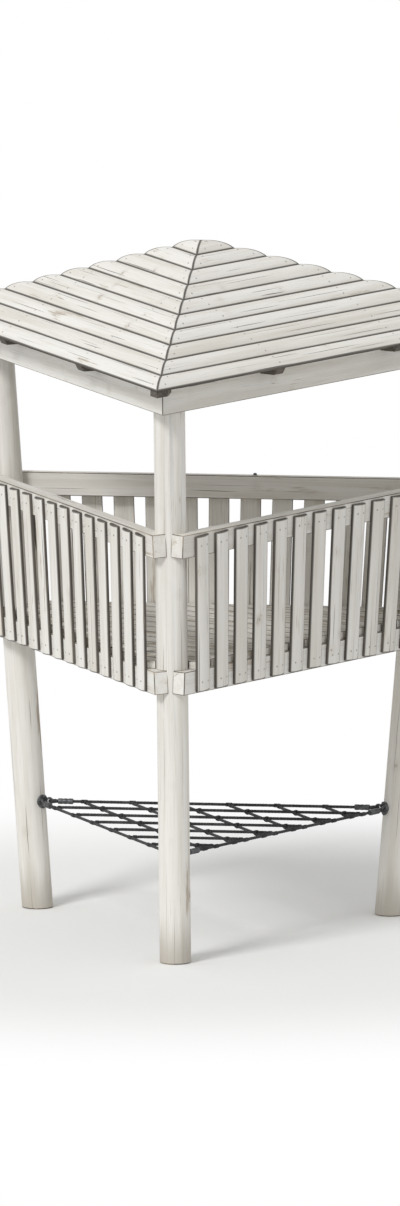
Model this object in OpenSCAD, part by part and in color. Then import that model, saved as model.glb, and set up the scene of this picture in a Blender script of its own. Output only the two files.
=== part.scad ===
// Three-post lifeguard tower of round timber: leaning posts, a railed lookout
// deck, a boarded pyramid roof and a rope net slung low between the posts.
// Millimetres, +Z up, ground at Z = 0, front post towards -Y.

/* [Posts] */
// Distance between neighbouring posts at the ground, axis to axis
foot_spacing = 1830; // [1600:10:2200]
// Diameter of the round posts
post_d = 160; // [140:5:200]
// Outward lean of every post, straight away from the middle of the tower
post_lean = 5; // [3:0.5:7]

/* [Rails] */
// Height of the bottom rail's middle, measured up the leaning side
bottom_rail_h = 1479; // [1200:1:1700]
// Distance from the bottom rail's middle up to the top rail's
rail_spacing = 710; // [500:5:900]
// Thickness of the rails, across the side
rail_t = 75; // [60:1:90]
// Height of the rails
rail_h = 120; // [90:5:150]
// Depth that the rails are let into the posts
rail_housing = 30; // [20:1:40]
// Space between the ends of two rails in front of a post
rail_end_gap = 24; // [12:1:40]

/* [Pickets] */
// Number of pickets on one side
picket_count = 13; // [9:1:15]
// Width of a picket
picket_w = 106; // [80:1:115]
// Thickness of a picket at its edges
picket_edge = 12; // [8:1:20]
// Rise of a picket's rounded face above its edges
picket_crown = 14; // [6:1:25]
// Clear length of the top rail's end before the first picket
picket_margin = 96; // [60:1:140]
// Distance from the rails' outer edges to the pickets' ends
picket_inset = 10; // [0:1:30]

/* [Deck] */
// Width of a deck board
deck_board_w = 125; // [90:1:150]
// Open joint between deck boards
deck_joint = 6.6; // [4:0.1:12]
// Thickness of the deck boards
deck_t = 40; // [25:1:60]
// Distance that the boards' ends stop inside the rails' outer faces
deck_inset = 13; // [5:1:30]
// Distance that the deck's corners reach past the ends of the bottom rails
deck_past_rail = 6; // [0:1:20]
// Clearance of the deck boards round the posts
deck_post_gap = 4; // [2:0.5:12]
// Number of joists under the deck
joist_count = 2; // [1:1:3]
// Width of a joist
joist_t = 60; // [40:1:80]
// Depth of a joist
joist_h = 110; // [80:5:150]

/* [Ring beam] */
// Height of the ring beam's underside above the ground
ring_z = 2886; // [2600:1:3200]
// Height of the ring beam's outer face
ring_h = 176; // [120:1:220]
// Thickness of the ring beam
ring_t = 75; // [60:1:90]
// Depth that the ring beam is let into the posts
ring_housing = 25; // [15:1:35]

/* [Roof] */
// Slope of each roof side
roof_pitch = 29.75; // [25:0.25:35]
// Horizontal distance that the boards' lower edge stands out from the ring beam
eave_overhang = 109; // [90:1:180]
// Width of a roof board
roof_board_w = 102; // [85:1:130]
// Open joint between roof boards
roof_joint = 1.7; // [1:0.1:4]
// Thickness of a roof board at its edges
roof_board_edge = 12; // [8:1:20]
// Rise of a roof board's rounded face above its edges
roof_board_crown = 14; // [6:1:25]
// Width of the rafters
rafter_w = 90; // [70:1:110]
// Depth of the common rafters at their edges
rafter_edge = 20; // [12:1:40]
// Rise of a common rafter's rounded underside below its edges
rafter_crown = 12; // [5:1:20]
// Depth of the hip rafters below the hip line
hip_d = 50; // [45:1:70]
// Distance that the hip rafters' ends stop inside the roof boards' lower edge
hip_setback = 32; // [10:1:60]

/* [Rope net] */
// Height of the net above the ground
net_z = 554; // [400:1:900]
// Side of the net's diamond mesh
net_mesh = 250; // [180:5:400]
// Diameter of all its ropes
rope_d = 16; // [12:1:20]
// Distance from a post's axis to the point where the edge ropes' lines meet
net_corner_inset = 40; // [30:1:50]
// Radius of the eye at the end of an edge rope, to the middle of the rope
rope_eye_r = 22; // [20:1:28]
// Diameter of the sleeve that closes such an eye
sleeve_d = 30; // [26:1:36]
// Length of that sleeve
sleeve_length = 80; // [40:5:100]
// Diameter of the round anchor plate on the post
anchor_plate_d = 70; // [60:1:80]
// Thickness of the anchor plate
anchor_plate_t = 8; // [6:1:12]
// Diameter of the bar that the anchor's two eyes are bent from
anchor_bar_d = 12; // [10:1:14]
// Play of a rope in the anchor's eye
anchor_play = 1; // [0.5:0.5:3]

/* [Fits] */
// Clearance of pieces that are let into each other
fit = 0.3; // [0.1:0.1:1]
// Open joint where pieces meet at a mitre
mitre_gap = 1; // [0.5:0.5:3]

/* [Hidden] */

$fn = 96;

// Turn of each side from the back side, whose outside faces +Y
SIDES = [0, 120, 240];
BACK = SIDES[0];
LEFT = SIDES[1];
RIGHT = SIDES[2];
// Direction from the middle of the corner at each side's +X end
CORNERS = [for (side = SIDES) side + 30];
CORNER_RIGHT = CORNERS[0];
CORNER_LEFT = CORNERS[1];
CORNER_FRONT = CORNERS[2];

// A length that reaches past everything, for cutting
far = 3 * foot_spacing;

// Posts: distance of a post's axis from the middle, at the ground and higher up
post_r = post_d / 2;
foot_reach = foot_spacing / sqrt(3);
function post_reach(z) = foot_reach + z * tan(post_lean);

// The plane through two posts' axes leans out by side_lean, and in that plane
// the axes part by splay_tan for each millimetre up it
side_lean = atan(tan(post_lean) / 2);
splay_tan = sin(post_lean) * cos(30)
    / (sin(post_lean) * sin(side_lean) / 2 + cos(post_lean) * cos(side_lean));
function post_offset(v) = foot_spacing / 2 + v * splay_tan;

// Rails: inner and outer faces, measured out from the plane of the post axes
rail_in = post_r - rail_housing;
rail_out = rail_in + rail_t;
rail_past_post = (rail_in * cos(30) - rail_end_gap / 2) / sin(30);
top_rail_h = bottom_rail_h + rail_spacing;
function rail_half_length(v) = post_offset(v) + rail_past_post;

// Pickets fan out with the posts: their spacing is set at the top rail
picket_middle_h = bottom_rail_h + rail_spacing / 2;
picket_length = rail_spacing + rail_h - 2 * picket_inset;
picket_pitch = (rail_half_length(top_rail_h) - picket_margin - picket_w / 2) * 2
    / (picket_count - 1);

// Deck: its underside lies on the bottom rails, planed level at their outer edge
deck_z = (bottom_rail_h + rail_h / 2) * cos(side_lean) - rail_out * sin(side_lean);
function side_reach(w, z) = post_reach(z) / 2 + w / cos(side_lean);
deck_reach = side_reach(rail_out, deck_z) - deck_inset;
deck_half_run = rail_half_length(bottom_rail_h) + deck_past_rail;
// Its corners are cut off square to the lines from the middle to the posts
deck_corner = deck_half_run / tan(30) - deck_reach;
deck_corner_half = (2 * deck_reach - deck_corner) * tan(30);
deck_pitch = deck_board_w + deck_joint;
// A board is laid while at least a third of its width would lie on the deck
deck_last_board = floor((deck_half_run + deck_board_w / 6) / deck_pitch);
joist_spacing = 3 * side_reach(rail_in, deck_z) / (joist_count + 1);

// Ring beam: inner and outer faces, measured out from the middle of the tower
ring_in = post_reach(ring_z + ring_h / 2) / 2 + post_r - ring_housing;
ring_out = ring_in + ring_t;

// Roof: the rafters lie on the ring beam's sloped top, and the boards on them
rafter_d = rafter_edge + rafter_crown;
eave_reach = ring_out + eave_overhang;
eave_z = ring_z + ring_h - eave_overhang * tan(roof_pitch) + rafter_d / cos(roof_pitch);
hip_slope = atan(tan(roof_pitch) / 2);
course_pitch = roof_board_w + roof_joint;
slope_length = eave_reach / cos(roof_pitch);
course_count = ceil((slope_length - roof_joint) / course_pitch);
rafter_offset = eave_reach * tan(60) / 3;
eave_tip = eave_reach + roof_board_edge * sin(roof_pitch);

// Net: the lines of its edge ropes meet inside each post
net_corner = post_reach(net_z) - net_corner_inset;
net_side = net_corner * sqrt(3);
net_inset = net_corner / 2;
mesh_row = net_mesh * sin(60);
// Places along an edge rope's line, from that corner: the post's surface, the
// middle of the anchor's eye, and the middle of the rope's own eye linked in it
at_surface = sqrt(pow(post_r, 2) - pow(net_corner_inset * sin(30), 2))
    - net_corner_inset * cos(30);
anchor_eye_r = (anchor_bar_d + rope_d) / 2 + anchor_play;
at_anchor_eye = at_surface + anchor_plate_t + anchor_eye_r + anchor_bar_d / 4;
at_rope_eye = at_anchor_eye + anchor_play / 2 + rope_eye_r;

// The origin is under the middle of the object's own box
y_shift = eave_tip / 2;

// Frames that the pieces are placed in

// One side of the tower, with its outside facing +Y
module on_side(turn) {
    translate([0, y_shift, 0]) rotate([0, 0, turn]) children();
}

// One corner of the tower, with +X pointing away from the middle
module on_corner(direction) {
    translate([0, y_shift, 0]) rotate([0, 0, direction]) children();
}

// The leaning plane of two posts' axes: +Y points out of it and +Z up along it
module leaning_side() {
    translate([0, foot_reach / 2, 0]) rotate([-side_lean, 0, 0]) children();
}

// The underside of one side's roof boards: +Y points down the slope to the eave
module roof_slope() {
    translate([0, eave_reach, eave_z]) rotate([-roof_pitch, 0, 0]) children();
}

// The hip line under the roof boards: +X points down it to the eave's corner
module hip_line() {
    translate([2 * eave_reach, 0, eave_z]) rotate([0, hip_slope, 0]) children();
}

// A third of the plan round +Y, such as all between two hips, its edges moved in
module wedge(gap) {
    start = gap / cos(30);
    linear_extrude(far)
        polygon([[0, start], [far, far * tan(30) + start], [-far, far * tan(30) + start]]);
}

// Everything that lies more than depth below a sloping frame's own plane
module below_slope(depth) {
    translate([-far, -far, -far - depth]) cube([2 * far, 2 * far, far]);
}

// Profiles and plain members

// A board sawn from the outside of a log: flat back, square edges, round face
module log_board(width, edge, crown) {
    face_r = (pow(width / 2, 2) + pow(crown, 2)) / (2 * crown);
    intersection() {
        translate([-width / 2, 0]) square([width, edge + crown]);
        translate([0, edge + crown - face_r]) circle(face_r, $fn = 180);
    }
}

// A rail or its housing in a post, as a box that is gap bigger on every side
module rail_box(height, gap = 0) {
    half = rail_half_length(height) + gap;
    translate([-half, rail_in - gap, height - rail_h / 2 - gap])
        cube([2 * half, rail_t + 2 * gap, rail_h + 2 * gap]);
}

// The ring beam's bar before its ends and top are cut, gap bigger on every side
module ring_bar(gap = 0) {
    translate([-far / 2, ring_in - gap, ring_z - gap])
        cube([far, ring_t + 2 * gap, far]);
}

// A round bar along +X
module bar(length, diameter, sides = 96) {
    rotate([0, 90, 0]) cylinder(h = length, d = diameter, $fn = sides);
}

// A ring of round bar, lying flat
module round_ring(radius, bar_d) {
    rotate_extrude() translate([radius, 0]) circle(d = bar_d, $fn = 32);
}

// Posts

// A post before its foot, head and housings are cut, grown by gap
module post_log(gap = 0) {
    translate([foot_reach, 0, 0]) rotate([0, post_lean, 0])
        translate([0, 0, -post_d]) cylinder(h = far, r = post_r + gap);
}

// A round post, its foot cut level and its head cut to the hip rafter's slope
module post(direction) {
    color("Wheat") difference() {
        on_corner(direction) intersection() {
            post_log();
            translate([0, -far / 2, 0]) cube([far, far, far]);
            hip_line() below_slope(hip_d + fit);
        }
        for (side = SIDES) on_side(side) {
            leaning_side() {
                rail_box(bottom_rail_h, fit);
                rail_box(top_rail_h, fit);
            }
            ring_bar(fit);
        }
    }
}

// Sides

// A bottom rail, planed level on top where the deck lies on it
module bottom_rail(side) {
    color("BurlyWood") on_side(side) intersection() {
        leaning_side() rail_box(bottom_rail_h);
        translate([-far / 2, 0, 0]) cube([far, far, deck_z]);
    }
}

module top_rail(side) {
    color("BurlyWood") on_side(side) leaning_side() rail_box(top_rail_h);
}

// The pickets of one side, on the rails' outer faces
module pickets(side) {
    color("Cornsilk") on_side(side) leaning_side()
        for (i = [0:picket_count - 1]) {
            at_top = (i - (picket_count - 1) / 2) * picket_pitch;
            share = at_top / post_offset(top_rail_h);
            translate([share * post_offset(picket_middle_h), rail_out, picket_middle_h])
                rotate([0, atan(share * splay_tan), 0])
                linear_extrude(picket_length, center = true)
                log_board(picket_w, picket_edge, picket_crown);
        }
}

// Deck

// The deck seen from above: a triangle with its corners cut off at the posts
module deck_outline() {
    polygon([for (corner = CORNERS, end = [-1, 1])
        let (along = [cos(corner), sin(corner)], across = [-sin(corner), cos(corner)])
        deck_corner * along + end * deck_corner_half * across]);
}

// Boards laid square to the right side, notched round the posts
module deck_boards() {
    color("Tan") for (i = [-deck_last_board:deck_last_board])
        difference() {
            intersection() {
                on_side(RIGHT)
                    translate([i * deck_pitch - deck_board_w / 2, -far / 2, deck_z])
                    cube([deck_board_w, far, deck_t]);
                translate([0, y_shift, deck_z]) linear_extrude(deck_t) deck_outline();
            }
            for (corner = CORNERS) on_corner(corner) post_log(deck_post_gap);
        }
}

// Joists under the boards, from the left bottom rail to the back one
module deck_joists() {
    color("BurlyWood") for (i = [1:joist_count])
        intersection() {
            on_side(RIGHT)
                translate([-far / 2, side_reach(rail_in, deck_z) - i * joist_spacing
                    - joist_t / 2, deck_z - joist_h])
                cube([far, joist_t, joist_h]);
            on_side(LEFT) leaning_side() inside_rail();
            on_side(BACK) leaning_side() inside_rail();
        }
}

// Everything inside the rails' inner faces
module inside_rail() {
    translate([-far, rail_in - fit - 2 * far, -far]) cube([2 * far, 2 * far, 2 * far]);
}

// Roof frame

// A ring beam, mitred at the corners, sloped on top and notched for the hips
module ring_beam(side) {
    color("BurlyWood") difference() {
        on_side(side) intersection() {
            ring_bar();
            wedge(mitre_gap / 2);
            roof_slope() below_slope(rafter_d);
        }
        for (corner = CORNERS) on_corner(corner) hip_line()
            translate([-far, -rafter_w / 2 - fit, -hip_d - fit])
            cube([2 * far, rafter_w + 2 * fit, far]);
    }
}

// A hip rafter, its back bevelled to both roof slopes and its end cut to both eaves
module hip_rafter(direction) {
    color("BurlyWood") on_corner(direction) intersection() {
        hip_line() translate([-far, -rafter_w / 2, -hip_d]) cube([2 * far, rafter_w, far]);
        rotate([0, 0, -150]) under_eave();
        rotate([0, 0, -30]) under_eave();
        rotate([0, 0, -90]) wedge(mitre_gap / 2);
    }
}

// Everything under one roof slope, up to the plumb cut at the hip rafters' ends
module under_eave() {
    intersection() {
        roof_slope() below_slope(0);
        translate([-far, eave_reach - hip_setback - 2 * far, 0])
            cube([2 * far, 2 * far, 2 * far]);
    }
}

// Two common rafters at the thirds of one eave, from the eave up to the hips
module rafters(side) {
    color("BurlyWood") on_side(side) for (x = [-rafter_offset, rafter_offset])
        intersection() {
            roof_slope() translate([x, -slope_length, 0]) rotate([-90, 0, 0])
                linear_extrude(slope_length) log_board(rafter_w, rafter_edge, rafter_crown);
            wedge(rafter_w / 2 + fit);
        }
}

// One roof side's boards, laid along the eave and mitred at the hips
module roof_boards(side) {
    color("Cornsilk") on_side(side) for (course = [0:course_count - 1])
        intersection() {
            roof_slope() translate([0, -course * course_pitch - roof_board_w / 2, 0])
                rotate([90, 0, 90]) linear_extrude(far, center = true)
                log_board(roof_board_w, roof_board_edge, roof_board_crown);
            wedge(mitre_gap / 2);
        }
}

// Rope net

// The steel anchor on a post: a saddled round plate with an eye for each edge rope
module net_anchor(direction) {
    plate_middle = post_r - net_corner_inset;
    color("DimGray") on_corner(direction) difference() {
        translate([net_corner, 0, net_z]) rotate([0, 0, 180]) {
            translate([plate_middle - anchor_plate_t, 0, 0])
                bar(2 * anchor_plate_t, anchor_plate_d);
            for (turn = [-30, 30]) rotate([0, 0, turn])
                translate([at_anchor_eye, 0, 0]) rotate([90, 0, 0])
                round_ring(anchor_eye_r, anchor_bar_d);
        }
        post_log(fit);
    }
}

// A straight rope of the net along one side, y out from the middle, lifted
module rope(half_length, y, lift) {
    translate([-half_length, y, net_z + lift]) bar(2 * half_length, rope_d, 8);
}

// The edge rope of one side, with an eye closed by a sleeve at each end
module edge_rope() {
    eye_offset = net_side / 2 - at_rope_eye;
    rope(eye_offset - rope_eye_r, net_inset, 0);
    for (end = [0, 1]) mirror([end, 0, 0]) translate([eye_offset, net_inset, net_z]) {
        round_ring(rope_eye_r, rope_d);
        translate([-rope_eye_r - sleeve_length, 0, 0]) bar(sleeve_length, sleeve_d);
    }
}

// The mesh ropes along one side, one mesh row apart
module mesh_ropes(lift) {
    for (i = [1:floor(net_side / net_mesh)]) {
        y = net_inset - i * mesh_row;
        half_length = (net_corner + y) * tan(30);
        if (half_length > net_mesh / 4) rope(half_length, y, lift);
    }
}

// The net: three edge ropes, and a diamond mesh of two layers tied between them
module rope_net() {
    color("DarkSlateGray") {
        for (side = SIDES) on_side(side) edge_rope();
        on_side(BACK) mesh_ropes(rope_d / 4);
        on_side(LEFT) mesh_ropes(-rope_d / 4);
    }
}

post(CORNER_FRONT);  // post_front
post(CORNER_LEFT);  // post_left
post(CORNER_RIGHT);  // post_right
bottom_rail(LEFT);  // bottom_rail_left
bottom_rail(RIGHT);  // bottom_rail_right
bottom_rail(BACK);  // bottom_rail_back
top_rail(LEFT);  // top_rail_left
top_rail(RIGHT);  // top_rail_right
top_rail(BACK);  // top_rail_back
pickets(LEFT);  // pickets_left
pickets(RIGHT);  // pickets_right
pickets(BACK);  // pickets_back
deck_joists();
deck_boards();
ring_beam(LEFT);  // ring_beam_left
ring_beam(RIGHT);  // ring_beam_right
ring_beam(BACK);  // ring_beam_back
hip_rafter(CORNER_FRONT);  // hip_rafter_front
hip_rafter(CORNER_LEFT);  // hip_rafter_left
hip_rafter(CORNER_RIGHT);  // hip_rafter_right
rafters(LEFT);  // rafters_left
rafters(RIGHT);  // rafters_right
rafters(BACK);  // rafters_back
roof_boards(LEFT);  // roof_boards_left
roof_boards(RIGHT);  // roof_boards_right
roof_boards(BACK);  // roof_boards_back
net_anchor(CORNER_FRONT);  // net_anchor_front
net_anchor(CORNER_LEFT);  // net_anchor_left
net_anchor(CORNER_RIGHT);  // net_anchor_right
rope_net();
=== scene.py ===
import math
from random import Random

import bmesh
import bpy
from mathutils import Matrix, Vector


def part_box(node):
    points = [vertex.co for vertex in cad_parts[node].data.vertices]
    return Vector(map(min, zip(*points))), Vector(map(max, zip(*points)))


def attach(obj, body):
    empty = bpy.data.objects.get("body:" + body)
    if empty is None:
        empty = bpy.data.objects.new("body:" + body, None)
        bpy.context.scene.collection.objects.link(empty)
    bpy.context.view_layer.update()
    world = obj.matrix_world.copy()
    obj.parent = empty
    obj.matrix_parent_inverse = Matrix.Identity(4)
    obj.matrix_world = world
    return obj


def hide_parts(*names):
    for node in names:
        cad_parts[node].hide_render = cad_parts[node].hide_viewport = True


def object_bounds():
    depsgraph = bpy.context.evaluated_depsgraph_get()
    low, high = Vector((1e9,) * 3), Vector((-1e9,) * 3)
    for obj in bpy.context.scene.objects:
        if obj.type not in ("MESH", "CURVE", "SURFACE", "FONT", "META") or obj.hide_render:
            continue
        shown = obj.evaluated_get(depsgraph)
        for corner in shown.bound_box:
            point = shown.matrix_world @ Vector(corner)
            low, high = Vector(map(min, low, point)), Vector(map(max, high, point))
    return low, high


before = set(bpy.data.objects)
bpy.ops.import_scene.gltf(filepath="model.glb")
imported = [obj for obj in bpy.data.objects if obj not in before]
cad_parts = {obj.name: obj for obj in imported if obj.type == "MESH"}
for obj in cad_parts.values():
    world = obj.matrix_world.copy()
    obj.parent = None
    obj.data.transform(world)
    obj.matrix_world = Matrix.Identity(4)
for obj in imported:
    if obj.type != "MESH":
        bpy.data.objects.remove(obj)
cad_low, cad_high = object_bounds()

# Ground and picture
# A pale floor that fades into a white surround, one broad soft sun with an even sky,
# and a long lens, because the drawing shows the tower in parallel projection.
UP = Vector((0, 0, 1))
# The origin is halfway from the eaves' front corner to the back eave, the axis a third on.
TOWER_AXIS = Vector((0, cad_high.y / 3, 0))
FLOOR_RADIUS = 4.3
FLOOR_SIDES = 96
FLOOR_COLOUR = (0.84, 0.84, 0.83, 1)
FADE_FROM = 2.0
FADE_TO = 4.2
WHITE = (1, 1, 1, 1)
SKY_LIGHT = 0.68
SUN_STRENGTH = 1.60
SUN_SOFTNESS = math.radians(16)
SUN_FROM = Vector((-0.40, -0.76, 0.74))
VIEW_DEGREES_ROUND = 7.0866
VIEW_DEGREES_UP = 8.8985
VIEW_DISTANCE = 123.4564
VIEW_SIDEWAYS = -0.00565
VIEW_HEIGHT = 1.68525
LENS_MM = 540
SENSOR_MM = (36, 27)


def add(kind, plugs=None, tree=None, **settings):
    """A new node, whose inputs plugs fills, by name or number, with values or with sockets.

    It goes in the sockets' own tree. Where none is linked, the tree is given.
    """
    plugs = plugs or {}
    linked = [key for key in plugs if isinstance(plugs[key], bpy.types.NodeSocket)]
    tree = tree or plugs[linked[0]].id_data
    node = tree.nodes.new(kind)
    for key, value in settings.items():
        setattr(node, key, value)
    for key, value in plugs.items():
        if key in linked:
            tree.links.new(value, node.inputs[key])
        else:
            node.inputs[key].default_value = value
    return node


def maths(operation, *values):
    return add("ShaderNodeMath", dict(enumerate(values)), operation=operation).outputs[0]


def vectors(operation, *values):
    node = add("ShaderNodeVectorMath", dict(enumerate(values)), operation=operation)
    return node.outputs["Value" if operation in ("LENGTH", "DISTANCE") else "Vector"]


def own_place(tree):
    """Where on the piece a point lies."""
    return add("ShaderNodeTexCoord", tree=tree).outputs["Object"]


def fade(value, low, high, start=0.0, end=1.0):
    """Runs smoothly from start to end while value goes from low to high."""
    plugs = {"Value": value, "From Min": low, "From Max": high, "To Min": start, "To Max": end}
    node = add("ShaderNodeMapRange", plugs, interpolation_type="SMOOTHSTEP")
    return node.outputs["Result"]


def empty_material(name):
    material = bpy.data.materials.new(name)
    material.use_nodes = True
    material.node_tree.nodes.clear()
    return material, material.node_tree


def seen_directly(tree):
    """1 for rays of the camera, and of its mirror and glass paths."""
    path = add("ShaderNodeLightPath", tree=tree)
    glossy = maths("MAXIMUM", path.outputs["Is Camera Ray"], path.outputs["Is Glossy Ray"])
    return maths("MAXIMUM", glossy, path.outputs["Is Transmission Ray"])


def floor_material():
    material, tree = empty_material("pale_floor")
    from_tower = vectors("DISTANCE", own_place(tree), TOWER_AXIS)
    share = maths("MULTIPLY", fade(from_tower, FADE_FROM, FADE_TO), seen_directly(tree))
    plain = add("ShaderNodeBsdfDiffuse", {"Color": FLOOR_COLOUR}, tree)
    white = add("ShaderNodeEmission", {"Strength": 1.0}, tree)
    both = add("ShaderNodeMixShader", {0: share, 1: plain.outputs[0], 2: white.outputs[0]})
    add("ShaderNodeOutputMaterial", {"Surface": both.outputs[0]})
    return material


def new_object(name, data):
    made = bpy.data.objects.new(name, data)
    bpy.context.scene.collection.objects.link(made)
    return made


def heading(degrees):
    """A level direction, in degrees anticlockwise from +X."""
    return Vector((math.cos(math.radians(degrees)), math.sin(math.radians(degrees)), 0))


def turn_back_to(thing, direction):
    """Turns a lamp or a camera so that its back faces that way."""
    thing.rotation_mode = "QUATERNION"
    thing.rotation_quaternion = direction.to_track_quat("Z", "Y")


def light_the_scene():
    world = bpy.data.worlds.new("surround")
    bpy.context.scene.world = world
    world.use_nodes = True
    tree = world.node_tree
    tree.nodes.clear()
    strength = fade(seen_directly(tree), 0, 1, SKY_LIGHT, 1.0)
    sky = add("ShaderNodeBackground", {"Color": WHITE, "Strength": strength})
    add("ShaderNodeOutputWorld", {"Surface": sky.outputs[0]})
    sun = bpy.data.lights.new("sun", "SUN")
    sun.energy = SUN_STRENGTH
    sun.angle = SUN_SOFTNESS
    turn_back_to(new_object("sun", sun), SUN_FROM)


def place_camera():
    camera = bpy.data.cameras.new("long_lens")
    camera.lens = LENS_MM
    camera.sensor_fit = "VERTICAL"
    camera.sensor_width, camera.sensor_height = SENSOR_MM
    camera.clip_start = VIEW_DISTANCE / 2
    camera.clip_end = VIEW_DISTANCE * 2
    seen = new_object("long_lens", camera)
    raised = math.radians(VIEW_DEGREES_UP)
    back = heading(VIEW_DEGREES_ROUND - 90) * math.cos(raised) + UP * math.sin(raised)
    target = TOWER_AXIS + heading(VIEW_DEGREES_ROUND) * VIEW_SIDEWAYS + UP * VIEW_HEIGHT
    seen.location = target + back * VIEW_DISTANCE
    turn_back_to(seen, back)
    bpy.context.scene.camera = seen


bm = bmesh.new()
bmesh.ops.create_circle(bm, cap_ends=True, segments=FLOOR_SIDES, radius=FLOOR_RADIUS)
bmesh.ops.translate(bm, verts=bm.verts, vec=TOWER_AXIS)
floor_mesh = bpy.data.meshes.new("floor")
bm.to_mesh(floor_mesh)
bm.free()
floor_mesh.materials.append(floor_material())
new_object("floor", floor_mesh)
light_the_scene()
place_camera()
bpy.context.scene.view_settings.view_transform = "Standard"

# Posts
# Three round logs of peeled softwood, limewashed, that lean outwards. Their feet are cut
# level with a small chamfer, and the rails and the ring beam are let into their sides.
FOOT_SPACING = 1.830
POST_D = 0.160
POST_LEAN = math.radians(5)
POST_ARRIS = 0.006
POST_PITH = 0.0
POST_SEED = 10
FOOT_WORKED = 0.020
WELD = 1e-4
FLAT = math.radians(0.5)
SHARP = math.radians(30)
CREASE = math.radians(40)
LOG_STRETCH = 40
PITH_ASIDE = 0.02
LIMEWASH = ((0.80, 0.785, 0.745, 1), (0.66, 0.63, 0.57, 1))
RUBBED = ((0.115, 0.100, 0.082, 1), (0.215, 0.190, 0.158, 1))
BARE_WOOD = (0.47, 0.405, 0.32, 1)
LATE_WOOD = (0.27, 0.205, 0.145, 1)
KNOT = (0.20, 0.125, 0.07, 1)
CHECK = (0.05, 0.042, 0.035, 1)
SOIL = (0.33, 0.29, 0.235, 1)
JOINT_DIRT = (0.060, 0.052, 0.044, 1)
KNOT_CELLS = (1.5, 13, 13)
KNOT_SHARE = 0.45
KNOT_R = (0.005, 0.016)
SWIRL_R = (0.050, 0.008)
RING_WIDTH = 0.0055
LATE_LINE = (0.1, 1.0)
CHECK_CELLS = (1.25, 1.7, 1)
CHECK_REACH = (0.08, 0.36)
CHECK_WIDTH = (0.00052, 0.00182)
CHECK_EDGE = 0.0006
CHECK_TWIST = 0.22
DIRT_REACH = 0.014
DIRT_STREAKS = 0.30
DIRT_EDGE = (0.35, 0.95)
SPLASH_HEIGHT = 0.34
SPECULAR = 0.25
RELIEF_STRENGTH = 0.55
RELIEF_DEPTH = 0.0015
# Noise in the wood: its fineness along, across and through the grain, detail, roughness.
NOISES = {"fibre": ((4, 210, 210), 3, 0.6), "streak": ((1.1, 24, 24), 3, 0.5),
          "blotch": ((1.7, 9, 9), 4, 0.62), "wander": ((0.8, 6, 6), 2, 0.5),
          "twist": ((3.5, 1, 1), 2, 0.5)}
# How much each mark of the wood bends its rings, wears and thins its wash, and shows.
BENT = {"wander": 0.030, "swirl": 0.010}
WEAR = {"blotch": 1.0, "fibre": 0.30, "late": 0.035, "swirl": 0.05}
WEAR_EDGE = 0.12
WORN_ROUGHER = 0.22
THIN = {"tone": 0.35, "streaks": 0.55}
THIN_STREAKS = (0.40, 0.68)
RAISED_FIBRES = (0.50, 0.75)
SHOWS = {"late": 0.55, "raised": 0.30, "worn": 0.80, "knot": 0.62, "swirl": 0.10,
         "check": 0.85, "dirt": 0.88, "soil": 0.62}
RELIEF = {"fibre": 0.5, "late": 0.25, "check": -1.4, "worn": -0.25, "knot": 0.3}
CORNERS = {"front": -90, "right": 30, "left": 150}


def point(x=0.0, y=0.0, z=0.0):
    """A vector put together from its three parts."""
    return add("ShaderNodeCombineXYZ", {0: x, 1: y, 2: z}).outputs[0]


def parts(vector):
    return add("ShaderNodeSeparateXYZ", {0: vector}).outputs


def attribute(tree, name, output="Vector"):
    return add("ShaderNodeAttribute", tree=tree, attribute_name=name).outputs[output]


def between(share, low, high):
    """A value that goes from low to high with a share."""
    return maths("MULTIPLY_ADD", share, high - low, low)


def summed(start, shares, marks):
    """A value with a share of each named mark added to it."""
    for label, share in shares.items():
        start = maths("MULTIPLY_ADD", marks[label], share, start)
    return start


def mix(share, first, second):
    """A colour between two others."""
    plugs = {0: share, 6: first, 7: second}
    return add("ShaderNodeMix", plugs, data_type="RGBA").outputs[2]


def grain_noise(grain, fineness, detail, roughness):
    plugs = {"Vector": vectors("MULTIPLY", grain, fineness), "Scale": 1.0,
             "Detail": detail, "Roughness": roughness}
    return add("ShaderNodeTexNoise", plugs).outputs["Fac"]


def nearest_cell(place, fineness, dimensions="3D"):
    """The way from the middle of a random cell, and the cell's own three chances."""
    plugs = {"Vector": vectors("MULTIPLY", place, fineness), "Scale": 1.0}
    cell = add("ShaderNodeTexVoronoi", plugs, voronoi_dimensions=dimensions)
    middle = vectors("DIVIDE", cell.outputs["Position"], fineness)
    chances = add("ShaderNodeSeparateColor", {0: cell.outputs["Color"]}).outputs
    return vectors("SUBTRACT", place, middle), chances


def knot_and_swirl(grain):
    """A knot in some of the cells, and the swirl of the grain round it."""
    way, chances = nearest_cell(grain, KNOT_CELLS)
    from_knot = vectors("LENGTH", way)
    there = maths("LESS_THAN", chances[1], KNOT_SHARE)
    knot_r = between(chances[0], *KNOT_R)
    return [maths("MULTIPLY", fade(from_knot, *edge), there) for edge in ((knot_r, 0.0), SWIRL_R)]


def late_wood(from_heart, marks):
    """The dark lines of the yearly rings, which bend round the knots."""
    turn = maths("MULTIPLY", summed(from_heart, BENT, marks), 2 * math.pi / RING_WIDTH)
    return fade(maths("SINE", turn), *LATE_LINE)


def drying_checks(grain, from_heart, twist, share):
    """Cracks along the grain in some of the cells round the log, closed at both ends."""
    x, y, z = parts(grain)
    around = maths("MULTIPLY_ADD", twist, CHECK_TWIST, maths("ARCTAN2", y, z))
    way, chances = nearest_cell(point(x, around), CHECK_CELLS, "2D")
    along, aside, _ = parts(way)
    along = maths("DIVIDE", along, between(chances[0], *CHECK_REACH))
    open_share = maths("SUBTRACT", 1.0, maths("POWER", along, 2))
    opening = maths("MULTIPLY", open_share, between(chances[2], *CHECK_WIDTH))
    across = maths("MULTIPLY", maths("ABSOLUTE", aside), from_heart)
    check = fade(maths("SUBTRACT", opening, across), 0.0, CHECK_EDGE)
    return maths("MULTIPLY", check, maths("LESS_THAN", chances[1], share))


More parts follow.
